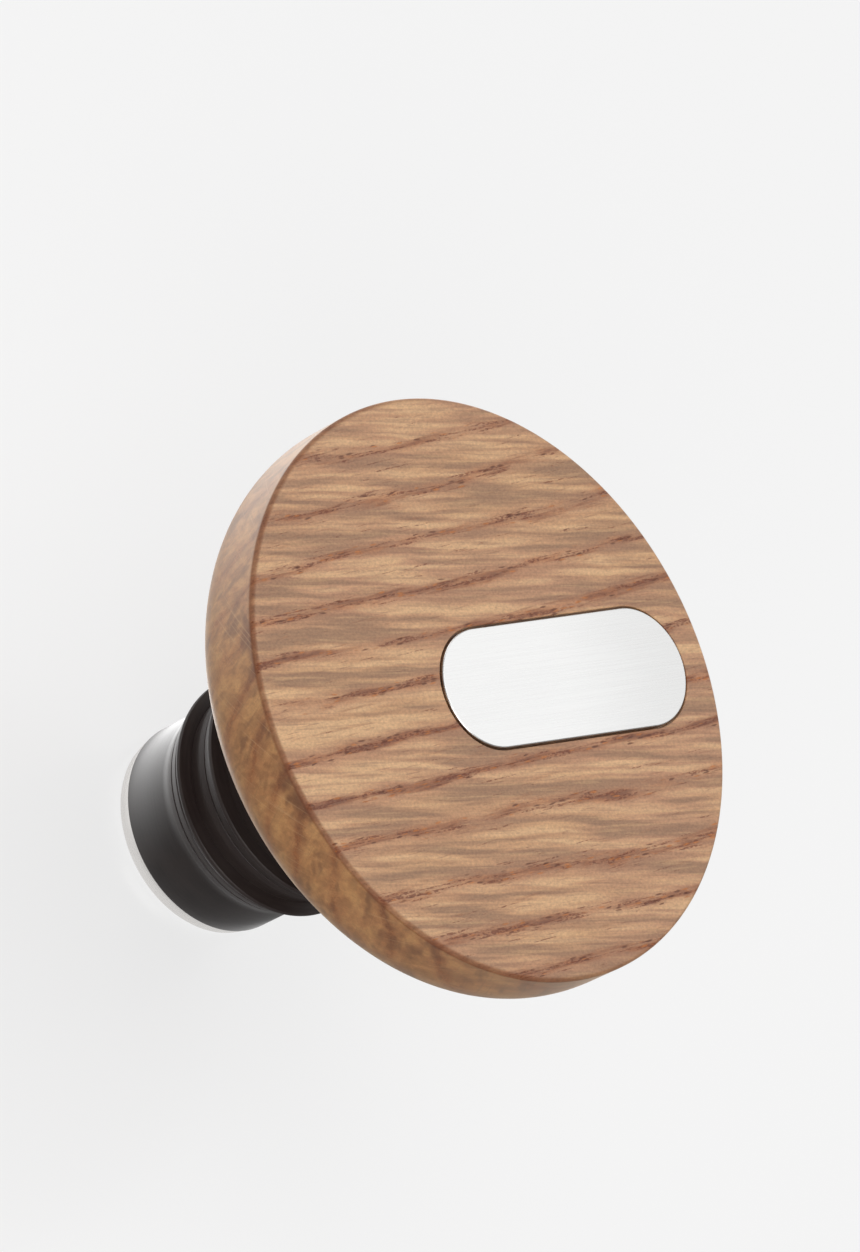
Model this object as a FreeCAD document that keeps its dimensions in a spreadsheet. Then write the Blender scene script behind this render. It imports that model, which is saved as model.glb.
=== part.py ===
import FreeCAD, Part
import Sketcher
import math
import os

# Wooden bottle stopper. A turned oak knob carries a steel plate let into its
# face; behind it a moulded black seal with three graduated fins is held on a
# steel core. The stopper stands on the flat end of the core.
#
# Frame: +Z is the turning axis, from the plug's end up to the knob's face.
# The origin is the centre of the core's flat end. The plate's long axis is +X.
# All lengths are in millimetres.

doc = FreeCAD.newDocument("BottleStopper")
sheet = doc.addObject("Spreadsheet::Sheet", "Dims")

# alias, value, what it measures
DIMS = [
    ("knob_face_r", 24.95, "knob radius at its face"),
    ("knob_side_r", 24.74, "knob radius where side and back would meet"),
    ("knob_thick", 10.0, "knob thickness"),
    ("knob_shoulder", 6.2, "rounding between the side and the flat back"),
    ("knob_arris", 0.35, "rounding of the face's edge"),
    ("recess_deep", 0.85, "depth of the plate's recess"),
    ("recess_gap", 0.19, "gap round the plate"),
    ("plate_end_r", 5.1, "radius of the plate's round ends"),
    ("plate_span", 17.0, "distance between the centres of the round ends"),
    ("plate_thick", 0.8, "plate thickness"),
    ("plate_edge", 0.12, "rounding of the plate's upper edge"),
    ("pad_thick", 0.2, "adhesive pad thickness"),
    ("pad_inset", 0.6, "inset of the pad from the plate's outline"),
    ("bore_head_r", 4.6, "radius of the counterbore for the screw's head"),
    ("bore_head_deep", 2.9, "depth of that counterbore below the recess"),
    ("bore_screw_r", 2.25, "radius of the screw's clearance hole"),
    ("screw_r", 2.0, "screw shank radius"),
    ("screw_long", 14.0, "screw length under the head"),
    ("screw_head_r", 4.0, "screw head radius"),
    ("screw_head_tall", 2.4, "screw head height"),
    ("screw_head_dome", 1.1, "rounding of the head's upper edge"),
    ("screw_slot_long", 4.4, "length of each arm pair of the cross recess"),
    ("screw_slot_wide", 1.1, "width of the cross recess"),
    ("screw_slot_deep", 1.5, "depth of the cross recess"),
    ("screw_point", 0.6, "chamfer at the screw's point"),
    ("flange_r", 8.80, "radius of the core's end flange"),
    ("flange_thick", 1.6, "thickness of the end flange"),
    ("flange_edge", 0.6, "rounding of the flange's outer edge"),
    ("spindle_r", 5.0, "radius of the core inside the seal"),
    ("tap_deep", 10.5, "depth of the core's tapped hole"),
    ("dish_r", 5.6, "radius of the turned dish in the core's end"),
    ("dish_deep", 0.3, "depth of that dish"),
    ("plug_long", 25.35, "length of the seal, flange to knob"),
    ("sleeve_r", 9.03, "radius of the plain sleeve"),
    ("sleeve_chamfer", 0.05, "chamfer of the sleeve's lower edge"),
    ("sleeve_top", 6.05, "height where the sleeve starts to flare"),
    ("groove_deep", 0.28, "depth of the moulded line under each lip"),
    ("groove_half", 0.14, "half the width of that line"),
    ("bead_tall", 0.78, "height of the bead above that line"),
    ("bead_out", 0.28, "lean of the bead"),
    ("nick_deep", 0.08, "depth of the nick above the bead"),
    ("nick_tall", 0.10, "height of that nick above the bead"),
    ("band_tall", 0.87, "height of the plain band below the upper moulded lines"),
    ("band_out", 0.06, "lean of that band"),
    ("lip_side", 0.06, "inset of the lip's rounding, underside"),
    ("lip_low", 0.22, "height of the lip's rounding below its tip"),
    ("lip_top", 0.04, "inset of the lip's rounding, upper side"),
    ("lip_high", 0.27, "height of the lip's rounding above its tip"),
    ("lip_round", 0.60, "radius of the lip's rounding"),
    ("root_rise", 0.42, "height of each fin's root above its tip"),
    ("root_under", 0.10, "undercut of the root below the next tier"),
    ("root_blend", 0.30, "height of the blend from root to tier"),
    ("fin_a_groove_up", 7.97, "height of the first moulded line"),
    ("fin_a_groove_r", 9.56, "radius at the first moulded line"),
    ("fin_a_tip_up", 9.60, "height of the first fin's tip"),
    ("fin_a_tip_r", 10.35, "radius of the first fin"),
    ("tier_b_r", 9.33, "radius at the foot of the second tier"),
    ("fin_b_groove_up", 12.54, "height of the second moulded line"),
    ("fin_b_groove_r", 9.83, "radius at the second moulded line"),
    ("fin_b_tip_up", 14.12, "height of the second fin's tip"),
    ("fin_b_tip_r", 10.72, "radius of the second fin"),
    ("tier_c_r", 9.70, "radius at the foot of the third tier"),
    ("fin_c_groove_up", 17.03, "height of the third moulded line"),
    ("fin_c_groove_r", 10.32, "radius at the third moulded line"),
    ("fin_c_tip_up", 18.62, "height of the third fin's tip"),
    ("fin_c_tip_r", 11.20, "radius of the third fin"),
    ("collar_r", 10.40, "radius of the collar under the knob"),
]
VAL = {}
for row, (alias, value, words) in enumerate(DIMS, start=1):
    sheet.set("A%d" % row, words)
    sheet.set("B%d" % row, repr(value))
    sheet.setAlias("B%d" % row, alias)
    VAL[alias] = value
doc.recompute()


class Q:
    """A length that keeps its number and the sheet expression that gives it."""

    def __init__(self, value, text):
        self.value = float(value)
        self.text = text

    @staticmethod
    def of(other):
        return other if isinstance(other, Q) else Q(other, repr(float(other)))

    def __add__(self, other):
        o = Q.of(other)
        return Q(self.value + o.value, "(%s + %s)" % (self.text, o.text))

    def __radd__(self, other):
        return Q.of(other) + self

    def __sub__(self, other):
        o = Q.of(other)
        return Q(self.value - o.value, "(%s - %s)" % (self.text, o.text))

    def __rsub__(self, other):
        return Q.of(other) - self

    def __mul__(self, other):
        o = Q.of(other)
        return Q(self.value * o.value, "(%s * %s)" % (self.text, o.text))

    def __truediv__(self, other):
        o = Q.of(other)
        return Q(self.value / o.value, "(%s / %s)" % (self.text, o.text))


def dim(alias):
    return Q(VAL[alias], "Dims.%s" % alias)


ZERO = Q(0, "0")


def new_body(label):
    body = doc.addObject("PartDesign::Body", label)
    body.Label = label
    return body


def origin_plane(body, role):
    for item in body.Origin.OriginFeatures:
        if item.Role == role:
            return item
    raise RuntimeError("no plane " + role)


def new_sketch(body, name, role, lift=None):
    sk = body.newObject("Sketcher::SketchObject", name)
    sk.AttachmentSupport = [(origin_plane(body, role), "")]
    sk.MapMode = "FlatFace"
    if lift is not None:
        sk.AttachmentOffset = FreeCAD.Placement(
            FreeCAD.Vector(0, 0, lift.value), FreeCAD.Rotation())
        sk.setExpression("AttachmentOffset.Base.z", lift.text)
    return sk


def pin_down(sk, geo, end, x, y):
    """Fix one point of the sketch at x, y from the origin."""
    for kind, axis, q in (("DistanceX", -2, x), ("DistanceY", -1, y)):
        if abs(q.value) < 1e-9:
            sk.addConstraint(Sketcher.Constraint("PointOnObject", geo, end, axis))
        else:
            i = sk.addConstraint(Sketcher.Constraint(kind, -1, 1, geo, end, q.value))
            sk.setExpression("Constraints[%d]" % i, q.text)


def rounded_outline(sk, points, rounds):
    """Closed outline of straight lines through points (x, y). rounds maps a
    corner's index to its radius: the corner is kept as a construction point on
    both of its lines, and a tangent arc takes its place."""
    count = len(points)
    flat = [(x.value, y.value) for x, y in points]

    def inset(i, j):
        """Where the line from corner i to corner j leaves corner i."""
        if i not in rounds:
            return flat[i]
        ax, ay = flat[i]
        arms = []
        for k in ((i - 1) % count, (i + 1) % count):
            dx, dy = flat[k][0] - ax, flat[k][1] - ay
            size = math.hypot(dx, dy)
            arms.append((dx / size, dy / size))
        dot = arms[0][0] * arms[1][0] + arms[0][1] * arms[1][1]
        step = rounds[i].value / math.tan(math.acos(dot) / 2.0)
        dx, dy = flat[j][0] - ax, flat[j][1] - ay
        size = math.hypot(dx, dy)
        return (ax + dx / size * step, ay + dy / size * step)

    lines = []
    for i in range(count):
        j = (i + 1) % count
        a, b = inset(i, j), inset(j, i)
        lines.append(sk.addGeometry(Part.LineSegment(
            FreeCAD.Vector(a[0], a[1], 0), FreeCAD.Vector(b[0], b[1], 0))))
    for i in range(count):
        before, after = lines[i - 1], lines[i]
        if i not in rounds:
            sk.addConstraint(Sketcher.Constraint("Coincident", before, 2, after, 1))
            pin_down(sk, after, 1, points[i][0], points[i][1])
            continue
        r = rounds[i].value
        a, b = inset(i, (i - 1) % count), inset(i, (i + 1) % count)
        ax, ay = flat[i]
        mx, my = (a[0] + b[0]) / 2.0 - ax, (a[1] + b[1]) / 2.0 - ay
        half = math.hypot(a[0] - b[0], a[1] - b[1]) / 2.0
        reach = math.hypot(mx, my) + math.sqrt(max(0.0, r * r - half * half))
        size = math.hypot(mx, my)
        cx, cy = ax + mx / size * reach, ay + my / size * reach
        a0 = math.atan2(a[1] - cy, a[0] - cx)
        a1 = math.atan2(b[1] - cy, b[0] - cx)
        turn = (a[0] - cx) * (b[1] - cy) - (a[1] - cy) * (b[0] - cx)
        ring = Part.Circle(FreeCAD.Vector(cx, cy, 0), FreeCAD.Vector(0, 0, 1), r)
        if turn > 0:
            if a1 < a0:
                a1 += 2 * math.pi
            g = sk.addGeometry(Part.ArcOfCircle(ring, a0, a1))
            first, last = 1, 2
        else:
            if a0 < a1:
                a0 += 2 * math.pi
            g = sk.addGeometry(Part.ArcOfCircle(ring, a1, a0))
            first, last = 2, 1
        corner = sk.addGeometry(Part.Point(FreeCAD.Vector(ax, ay, 0)), True)
        sk.addConstraint(Sketcher.Constraint("Tangent", before, 2, g, first))
        sk.addConstraint(Sketcher.Constraint("Tangent", g, last, after, 1))
        sk.addConstraint(Sketcher.Constraint("PointOnObject", corner, 1, before))
        sk.addConstraint(Sketcher.Constraint("PointOnObject", corner, 1, after))
        k = sk.addConstraint(Sketcher.Constraint("Radius", g, r))
        sk.setExpression("Constraints[%d]" % k, rounds[i].text)
        pin_down(sk, corner, 1, points[i][0], points[i][1])


def outline(sk, points, arcs=None):
    """Closed outline through points (x, y). arcs maps a segment's index to
    (radius, side): side +1 puts the centre to the left of the direction of
    travel, -1 to the right. The other segments are straight."""
    arcs = arcs or {}
    count = len(points)
    ends = []
    for i in range(count):
        ax, ay = points[i][0].value, points[i][1].value
        bx, by = points[(i + 1) % count][0].value, points[(i + 1) % count][1].value
        if i in arcs:
            radius, side = arcs[i]
            dx, dy = bx - ax, by - ay
            chord = math.hypot(dx, dy)
            off = math.sqrt(max(0.0, radius.value ** 2 - chord ** 2 / 4.0)) * side
            cx = (ax + bx) / 2.0 - dy / chord * off
            cy = (ay + by) / 2.0 + dx / chord * off
            a0 = math.atan2(ay - cy, ax - cx)
            a1 = math.atan2(by - cy, bx - cx)
            circle = Part.Circle(FreeCAD.Vector(cx, cy, 0),
                                 FreeCAD.Vector(0, 0, 1), radius.value)
            if side > 0:
                if a1 < a0:
                    a1 += 2 * math.pi
                g = sk.addGeometry(Part.ArcOfCircle(circle, a0, a1))
                ends.append((g, 1, 2))
            else:
                if a0 < a1:
                    a0 += 2 * math.pi
                g = sk.addGeometry(Part.ArcOfCircle(circle, a1, a0))
                ends.append((g, 2, 1))
            k = sk.addConstraint(Sketcher.Constraint("Radius", g, radius.value))
            sk.setExpression("Constraints[%d]" % k, radius.text)
        else:
            g = sk.addGeometry(Part.LineSegment(FreeCAD.Vector(ax, ay, 0),
                                                FreeCAD.Vector(bx, by, 0)))
            ends.append((g, 1, 2))
    for i in range(count):
        g, first, last = ends[i]
        h, hfirst, hlast = ends[(i + 1) % count]
        sk.addConstraint(Sketcher.Constraint("Coincident", g, last, h, hfirst))
    for i in range(count):
        g, first, last = ends[i]
        pin_down(sk, g, first, points[i][0], points[i][1])


def circle(sk, radius, x=ZERO, y=ZERO):
    g = sk.addGeometry(Part.Circle(FreeCAD.Vector(x.value, y.value, 0),
                                   FreeCAD.Vector(0, 0, 1), radius.value))
    if abs(x.value) < 1e-9 and abs(y.value) < 1e-9:
        sk.addConstraint(Sketcher.Constraint("Coincident", g, 3, -1, 1))
    else:
        pin_down(sk, g, 3, x, y)
    k = sk.addConstraint(Sketcher.Constraint("Radius", g, radius.value))
    sk.setExpression("Constraints[%d]" % k, radius.text)


def round_ended(sk, end_r, span):
    """Stadium along +X: its first round end is centred on the axis."""
    up = FreeCAD.Vector(0, 0, 1)
    r, s = end_r.value, span.value
    low = sk.addGeometry(Part.LineSegment(FreeCAD.Vector(0, -r, 0), FreeCAD.Vector(s, -r, 0)))
    far = sk.addGeometry(Part.ArcOfCircle(Part.Circle(FreeCAD.Vector(s, 0, 0), up, r),
                                          -math.pi / 2, math.pi / 2))
    top = sk.addGeometry(Part.LineSegment(FreeCAD.Vector(s, r, 0), FreeCAD.Vector(0, r, 0)))
    near = sk.addGeometry(Part.ArcOfCircle(Part.Circle(FreeCAD.Vector(0, 0, 0), up, r),
                                           math.pi / 2, 3 * math.pi / 2))
    for a, b in ((low, far), (far, top), (top, near), (near, low)):
        sk.addConstraint(Sketcher.Constraint("Tangent", a, 2, b, 1))
    sk.addConstraint(Sketcher.Constraint("Coincident", near, 3, -1, 1))
    sk.addConstraint(Sketcher.Constraint("Horizontal", low))
    sk.addConstraint(Sketcher.Constraint("Equal", near, far))
    k = sk.addConstraint(Sketcher.Constraint("Radius", near, r))
    sk.setExpression("Constraints[%d]" % k, end_r.text)
    k = sk.addConstraint(Sketcher.Constraint("DistanceX", near, 3, far, 3, s))
    sk.setExpression("Constraints[%d]" % k, span.text)


def turned(body, name, points, arcs=None, rounds=None):
    sk = new_sketch(body, name + "Profile", "XZ_Plane")
    if rounds:
        rounded_outline(sk, points, rounds)
    else:
        outline(sk, points, arcs)
    rev = body.newObject("PartDesign::Revolution", name)
    rev.Profile = sk
    rev.ReferenceAxis = (sk, ["V_Axis"])
    rev.Angle = 360.0
    doc.recompute()
    return rev


def bind(obj, prop, q):
    obj.setExpression(prop, q.text)


def cut_down(body, name, sk, depth):
    """Pocket from the sketch's plane downward; the volume must drop."""
    before = body.Shape.Volume
    pocket = body.newObject("PartDesign::Pocket", name)
    pocket.Profile = sk
    pocket.Length = depth.value
    bind(pocket, "Length", depth)
    doc.recompute()
    if not body.Shape.Volume < before - 1e-3:
        pocket.Reversed = True
        doc.recompute()
    if not body.Shape.Volume < before - 1e-3:
        raise RuntimeError(name + " cuts nothing")
    return pocket


def level_edges(shape, z, tol=0.01):
    """Names of every edge that lies wholly at height z."""
    found = []
    for i, e in enumerate(shape.Edges, start=1):
        b = e.BoundBox
        if abs(b.ZMin - z) < tol and abs(b.ZMax - z) < tol:
            found.append("Edge%d" % i)
    return found


def rounding(body, name, base, edges, radius):
    f = body.newObject("PartDesign::Fillet", name)
    f.Base = (base, edges)
    f.Radius = radius.value
    bind(f, "Radius", radius)
    doc.recompute()
    return f


# heights that several pieces share
plug_top = dim("flange_thick") + dim("plug_long")      # knob's back
face_up = plug_top + dim("knob_thick")                 # knob's face
recess_floor = face_up - dim("recess_deep")
head_floor = recess_floor - dim("bore_head_deep")      # under the screw's head

# ---------------------------------------------------------------- core
# One turning: the end flange, with a shallow dish that leaves a ring to stand
# on, and the spindle that the seal fits over.
core = new_body("core")
turned(core, "CoreTurning", [
    (ZERO, dim("dish_deep")),
    (dim("dish_r"), dim("dish_deep")),
    (dim("dish_r") + dim("dish_deep"), ZERO),
    (dim("flange_r"), ZERO),
    (dim("flange_r"), dim("flange_thick")),
    (dim("spindle_r"), dim("flange_thick")),
    (dim("spindle_r"), plug_top),
    (ZERO, plug_top),
], rounds={3: dim("flange_edge")})
sk = new_sketch(core, "TapSketch", "XY_Plane", plug_top)
circle(sk, dim("screw_r"))
cut_down(core, "TappedHole", sk, dim("tap_deep"))

# ---------------------------------------------------------------- seal
# One moulding. Each tier leans out to a plain band; a fine moulded line and a
# bead run round it, and above them it flares to a lip whose upper side is flat.
seal = new_body("seal")


def lip_points(groove_up, groove_r, tip_up, tip_r, next_r):
    """From the moulded line to the start of the next tier."""
    gd, gh = dim("groove_deep"), dim("groove_half")
    bead_r = groove_r + gh + dim("bead_out")
    bead_up = groove_up + gh + dim("bead_tall")
    return [
        (groove_r, groove_up - gh),
        (groove_r - gd, groove_up),
        (groove_r + gh, groove_up + gh),
        (bead_r, bead_up),
        (bead_r - dim("nick_deep"), bead_up + dim("nick_tall")),
        (tip_r - dim("lip_side"), tip_up - dim("lip_low")),
        (tip_r - dim("lip_top"), tip_up + dim("lip_high")),
        (next_r - dim("root_under"), tip_up + dim("root_rise")),
        (next_r, tip_up + dim("root_rise") + dim("root_blend")),
    ]


fin_a = lip_points(dim("fin_a_groove_up"), dim("fin_a_groove_r"),
                   dim("fin_a_tip_up"), dim("fin_a_tip_r"), dim("tier_b_r"))
fin_b = lip_points(dim("fin_b_groove_up"), dim("fin_b_groove_r"),
                   dim("fin_b_tip_up"), dim("fin_b_tip_r"), dim("tier_c_r"))
fin_c = lip_points(dim("fin_c_groove_up"), dim("fin_c_groove_r"),
                   dim("fin_c_tip_up"), dim("fin_c_tip_r"), dim("collar_r"))

seal_pts = [
    (dim("spindle_r"), dim("flange_thick")),
    (dim("sleeve_r") - dim("sleeve_chamfer"), dim("flange_thick")),
    (dim("sleeve_r"), dim("flange_thick") + dim("sleeve_chamfer")),
    (dim("sleeve_r"), dim("sleeve_top")),
]
seal_arcs = {}
# the sleeve blends into its lip by one arc, tangent to the sleeve
rise = (dim("fin_a_groove_up") - dim("groove_half")) - dim("sleeve_top")
grow = dim("fin_a_groove_r") - dim("sleeve_r")
seal_arcs[len(seal_pts) - 1] = ((rise * rise + grow * grow) / (grow * 2), -1)
for fin, above in ((fin_a, fin_b), (fin_b, fin_c), (fin_c, None)):
    start = len(seal_pts)
    seal_pts += fin
    seal_arcs[start + 5] = (dim("lip_round"), +1)
    # the next tier leans out to the foot of its band
    if above is not None:
        seal_pts.append((above[0][0] - dim("band_out"),
                         above[1][1] - dim("band_tall")))
seal_pts.append((dim("collar_r"), plug_top))
seal_pts.append((dim("spindle_r"), plug_top))
turned(seal, "SealMoulding", seal_pts, seal_arcs)

# ---------------------------------------------------------------- knob
knob = new_body("knob")
turned(knob, "KnobTurning", [
    (ZERO, plug_top),
    (dim("knob_side_r"), plug_top),
    (dim("knob_face_r"), face_up),
    (ZERO, face_up),
], rounds={1: dim("knob_shoulder"), 2: dim("knob_arris")})
sk = new_sketch(knob, "RecessSketch", "XY_Plane", face_up)
round_ended(sk, dim("plate_end_r") + dim("recess_gap"), dim("plate_span"))
cut_down(knob, "PlateRecess", sk, dim("recess_deep"))
sk = new_sketch(knob, "CounterboreSketch", "XY_Plane", recess_floor)
circle(sk, dim("bore_head_r"))
cut_down(knob, "Counterbore", sk, dim("bore_head_deep"))
sk = new_sketch(knob, "ScrewHoleSketch", "XY_Plane", head_floor)
circle(sk, dim("bore_screw_r"))
cut_down(knob, "ScrewHole", sk, head_floor - plug_top)

# ---------------------------------------------------------------- adhesive pad
pad = new_body("adhesive_pad")
sk = new_sketch(pad, "PadSketch", "XY_Plane", recess_floor)
round_ended(sk, dim("plate_end_r") - dim("pad_inset"), dim("plate_span"))
film = pad.newObject("PartDesign::Pad", "PadFilm")
film.Profile = sk
film.Length = VAL["pad_thick"]
bind(film, "Length", dim("pad_thick"))
doc.recompute()

# ---------------------------------------------------------------- plate
plate = new_body("plate")
plate_floor = recess_floor + dim("pad_thick")
sk = new_sketch(plate, "PlateSketch", "XY_Plane", plate_floor)
round_ended(sk, dim("plate_end_r"), dim("plate_span"))
blank = plate.newObject("PartDesign::Pad", "PlateBlank")
blank.Profile = sk
blank.Length = VAL["plate_thick"]
bind(blank, "Length", dim("plate_thick"))
doc.recompute()
rounding(plate, "PlateEdge", blank,
         level_edges(blank.Shape, (plate_floor + dim("plate_thick")).value),
         dim("plate_edge"))

# ---------------------------------------------------------------- fixing screw
screw = new_body("fixing_screw")
screw_end = head_floor - dim("screw_long")
head_top = head_floor + dim("screw_head_tall")
turned(screw, "ScrewTurning", [
    (ZERO, screw_end),
    (dim("screw_r") - dim("screw_point"), screw_end),
    (dim("screw_r"), screw_end + dim("screw_point")),
    (dim("screw_r"), head_floor),
    (dim("screw_head_r"), head_floor),
    (dim("screw_head_r"), head_top),
    (ZERO, head_top),
], rounds={5: dim("screw_head_dome")})
half_long = dim("screw_slot_long") / 2
half_wide = dim("screw_slot_wide") / 2
sk = new_sketch(screw, "CrossSketch", "XY_Plane", head_top)
outline(sk, [
    (half_long, ZERO - half_wide), (half_long, half_wide),
    (half_wide, half_wide), (half_wide, half_long),
    (ZERO - half_wide, half_long), (ZERO - half_wide, half_wide),
    (ZERO - half_long, half_wide), (ZERO - half_long, ZERO - half_wide),
    (ZERO - half_wide, ZERO - half_wide), (ZERO - half_wide, ZERO - half_long),
    (half_wide, ZERO - half_long), (half_wide, ZERO - half_wide),
])
cut_down(screw, "CrossRecess", sk, dim("screw_slot_deep"))

# ---------------------------------------------------------------- checks, export
doc.recompute()
for obj in doc.Objects:
    if "Invalid" in obj.State or "Error" in obj.State:
        raise RuntimeError("%s is in state %s" % (obj.Name, obj.State))

pieces = [core, seal, knob, pad, plate, screw]
for body in pieces:
    shape = body.Shape
    if shape.isNull() or not shape.isValid() or len(shape.Solids) != 1:
        raise RuntimeError(body.Label + " has a bad shape")

os.makedirs("parts", exist_ok=True)
for body in pieces:
    body.Shape.exportStep("parts/%s.step" % body.Label)
    b = body.Shape.BoundBox
    print("%-14s volume %9.2f mm3  x %.2f..%.2f  y %.2f..%.2f  z %.2f..%.2f" % (
        body.Label, body.Shape.Volume, b.XMin, b.XMax, b.YMin, b.YMax, b.ZMin, b.ZMax))
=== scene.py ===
import math

import bpy
from mathutils import Matrix, Vector


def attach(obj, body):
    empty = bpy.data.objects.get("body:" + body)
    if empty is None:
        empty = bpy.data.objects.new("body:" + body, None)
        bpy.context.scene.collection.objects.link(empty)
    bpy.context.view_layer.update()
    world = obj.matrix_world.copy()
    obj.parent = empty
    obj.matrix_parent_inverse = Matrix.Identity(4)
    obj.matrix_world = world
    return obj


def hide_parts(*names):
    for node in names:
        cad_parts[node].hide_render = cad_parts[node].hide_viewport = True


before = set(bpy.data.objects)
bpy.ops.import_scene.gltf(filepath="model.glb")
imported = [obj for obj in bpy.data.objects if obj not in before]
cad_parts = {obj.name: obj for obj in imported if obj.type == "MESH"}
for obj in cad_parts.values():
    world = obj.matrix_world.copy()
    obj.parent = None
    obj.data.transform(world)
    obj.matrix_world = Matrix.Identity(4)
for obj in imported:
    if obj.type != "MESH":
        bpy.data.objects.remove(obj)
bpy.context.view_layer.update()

# Wooden bottle stopper: turned oak knob, steel plate let into its face, black
# finned seal on a steel core. Lengths below are in millimetres and are put into
# the frame's metres when a mesh is made.

MM = 0.001
PLUG_TOP = 26.95          # the knob's flat back
FACE_UP = 36.95           # the knob's face
RECESS_UP = 36.10         # floor of the plate's recess
HEAD_UP = 33.20           # floor of the screw's counterbore
PLATE_R, PLATE_SPAN = 5.1, 17.0
RECESS_R = 5.29


# ------------------------------------------------------------------ profiles
def rounded(corners, step=9.0, most=0.48):
    """Open path (r, z) with each corner (r, z, radius) replaced by an arc, and
    one close support point on each side so that the flat parts stay flat."""
    out = []
    last = len(corners) - 1
    for i, c in enumerate(corners):
        x, y = c[0], c[1]
        rad = c[2] if len(c) > 2 else 0.0
        if rad <= 0 or i == 0 or i == last:
            out.append((x, y))
            continue
        ax, ay = corners[i - 1][0] - x, corners[i - 1][1] - y
        bx, by = corners[i + 1][0] - x, corners[i + 1][1] - y
        la, lb = math.hypot(ax, ay), math.hypot(bx, by)
        ax, ay, bx, by = ax / la, ay / la, bx / lb, by / lb
        dot = max(-1.0, min(1.0, ax * bx + ay * by))
        half = math.acos(dot) / 2.0
        cut = min(rad / math.tan(half), most * la, most * lb)
        rad = cut * math.tan(half)
        mx, my = ax + bx, ay + by
        lm = math.hypot(mx, my)
        reach = rad / math.sin(half)
        cx, cy = x + mx / lm * reach, y + my / lm * reach
        a0 = math.atan2(y + ay * cut - cy, x + ax * cut - cx)
        a1 = math.atan2(y + by * cut - cy, x + bx * cut - cx)
        sweep = (a1 - a0 + math.pi) % (2 * math.pi) - math.pi
        n = max(3, int(math.ceil(abs(math.degrees(sweep)) / step)))
        pad = min(0.35 * rad, 0.04 + 0.1 * rad)
        if la - cut > 2.5 * pad:
            out.append((x + ax * (cut + pad), y + ay * (cut + pad)))
        for k in range(n + 1):
            a = a0 + sweep * k / n
            out.append((cx + rad * math.cos(a), cy + rad * math.sin(a)))
        if lb - cut > 2.5 * pad:
            out.append((x + bx * (cut + pad), y + by * (cut + pad)))
    clean = [out[0]]
    for p in out[1:]:
        if math.hypot(p[0] - clean[-1][0], p[1] - clean[-1][1]) > 1e-4:
            clean.append(p)
    return clean


def arc_to(a, b, radius, side, n):
    """Points after a, up to b, along an arc. side +1 has the centre to the left."""
    dx, dy = b[0] - a[0], b[1] - a[1]
    chord = math.hypot(dx, dy)
    off = math.sqrt(max(0.0, radius * radius - chord * chord / 4)) * side
    cx, cy = (a[0] + b[0]) / 2 - dy / chord * off, (a[1] + b[1]) / 2 + dx / chord * off
    a0, a1 = math.atan2(a[1] - cy, a[0] - cx), math.atan2(b[1] - cy, b[0] - cx)
    sweep = (a1 - a0 + math.pi) % (2 * math.pi) - math.pi
    return [(cx + radius * math.cos(a0 + sweep * k / n),
             cy + radius * math.sin(a0 + sweep * k / n)) for k in range(1, n + 1)]


# -------------------------------------------------------------------- meshes
def finish_mesh(name, verts, faces, node, sharp=38.0):
    me = bpy.data.meshes.new(name)
    me.from_pydata([(x * MM, y * MM, z * MM) for x, y, z in verts], [], faces)
    me.validate()
    me.update()
    me.polygons.foreach_set("use_smooth", [True] * len(me.polygons))
    ob = bpy.data.objects.new(name, me)
    bpy.context.scene.collection.objects.link(ob)
    # edges sharper than the limit keep a crease in their shading
    normals = {}
    for p in me.polygons:
        for key in p.edge_keys:
            normals.setdefault(key, []).append(p.normal.copy())
    limit = math.cos(math.radians(sharp))
    flags = []
    for e in me.edges:
        ns = normals.get(tuple(sorted(e.vertices)), [])
        flags.append(len(ns) == 2 and ns[0].dot(ns[1]) < limit)
    attr = me.attributes.get("sharp_edge") or me.attributes.new("sharp_edge", "BOOLEAN", "EDGE")
    attr.data.foreach_set("value", flags)
    me.update()
    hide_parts(node)
    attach(ob, "root")
    return ob


def turned(name, path, segments, node):
    """Closed solid of revolution. path is (r, z); an end at r 0 becomes a pole."""
    verts, faces, rings = [], [], []
    for r, z in path:
        if r < 1e-6:
            rings.append([len(verts)])
            verts.append((0.0, 0.0, z))
        else:
            start = len(verts)
            for k in range(segments):
                a = 2 * math.pi * k / segments
                verts.append((r * math.cos(a), r * math.sin(a), z))
            rings.append(list(range(start, start + segments)))
    pairs = list(zip(rings[:-1], rings[1:]))
    if len(rings[0]) > 1 and len(rings[-1]) > 1:
        pairs.append((rings[-1], rings[0]))
    for lo, hi in pairs:
        for k in range(segments):
            j = (k + 1) % segments
            if len(lo) == 1 and len(hi) == 1:
                continue
            if len(lo) == 1:
                faces.append((lo[0], hi[j], hi[k]))
            elif len(hi) == 1:
                faces.append((lo[k], lo[j], hi[0]))
            else:
                faces.append((lo[k], lo[j], hi[j], hi[k]))
    return finish_mesh(name, verts, faces, node)


def stadium(end_r, count):
    """Points round a stadium whose near end is centred on the axis, anticlockwise
    and evenly spaced from its near tip. Point k mirrors point count - 1 - k."""
    straight, quarter = PLATE_SPAN, math.pi * end_r / 2
    total = 2 * straight + 4 * quarter
    pts = []
    for k in range(count):
        t = (k + 0.5) / count * total
        if t < quarter:
            a = math.pi + t / end_r
            pts.append((end_r * math.cos(a), end_r * math.sin(a)))
        elif t < quarter + straight:
            pts.append((t - quarter, -end_r))
        elif t < 3 * quarter + straight:
            a = -math.pi / 2 + (t - quarter - straight) / end_r
            pts.append((straight + end_r * math.cos(a), end_r * math.sin(a)))
        elif t < 3 * quarter + 2 * straight:
            pts.append((straight - (t - 3 * quarter - straight), end_r))
        else:
            a = math.pi / 2 + (t - 3 * quarter - 2 * straight) / end_r
            pts.append((end_r * math.cos(a), end_r * math.sin(a)))
    return pts


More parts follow.
